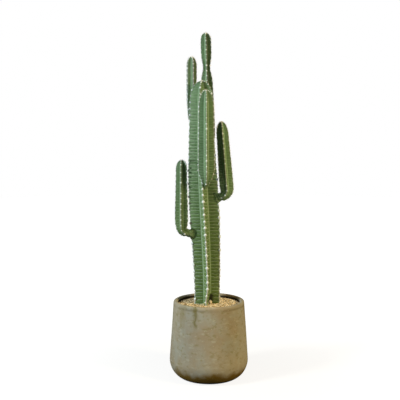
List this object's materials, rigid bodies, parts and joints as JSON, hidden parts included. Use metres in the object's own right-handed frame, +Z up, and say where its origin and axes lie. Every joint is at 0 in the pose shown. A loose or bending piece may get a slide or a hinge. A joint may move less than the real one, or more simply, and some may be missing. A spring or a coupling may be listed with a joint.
{
  "type": "potted columnar cactus",
  "caption": "Tall columnar cactus with a ribbed trunk and upturned arms, in a round weathered clay pot topped with gravel.",
  "frame": {"origin": "middle of the pot's flat underside, on the surface that the pot stands on", "axes": "+Z up; +X to the viewer's right and -Y towards the viewer of the plant's front, the side with the front arm"},
  "size_m": [0.353, 0.353, 1.538],
  "materials": {
    "clay": "matt, weathered, mottled grey-tan",
    "soil": "matt, crumbly, dark brown",
    "gravel": "matt, fine tan gravel",
    "trunk_skin": "satin, waxy blue-green to olive skin",
    "arm_skin": "satin, waxy blue-green to olive skin"
  },
  "bodies": {
    "root": {"pot": "clay", "soil": "soil", "gravel": "gravel", "trunk": "trunk_skin", "arm_front_elbow": "arm_skin", "arm_front_column": "arm_skin", "arm_right_elbow": "arm_skin", "arm_right_column": "arm_skin", "arm_left_elbow": "arm_skin", "arm_left_column": "arm_skin", "arm_back_left_elbow": "arm_skin", "arm_back_left_column": "arm_skin", "arm_back_tall_elbow": "arm_skin", "arm_back_tall_column": "arm_skin"}
  },
  "joints": []
}
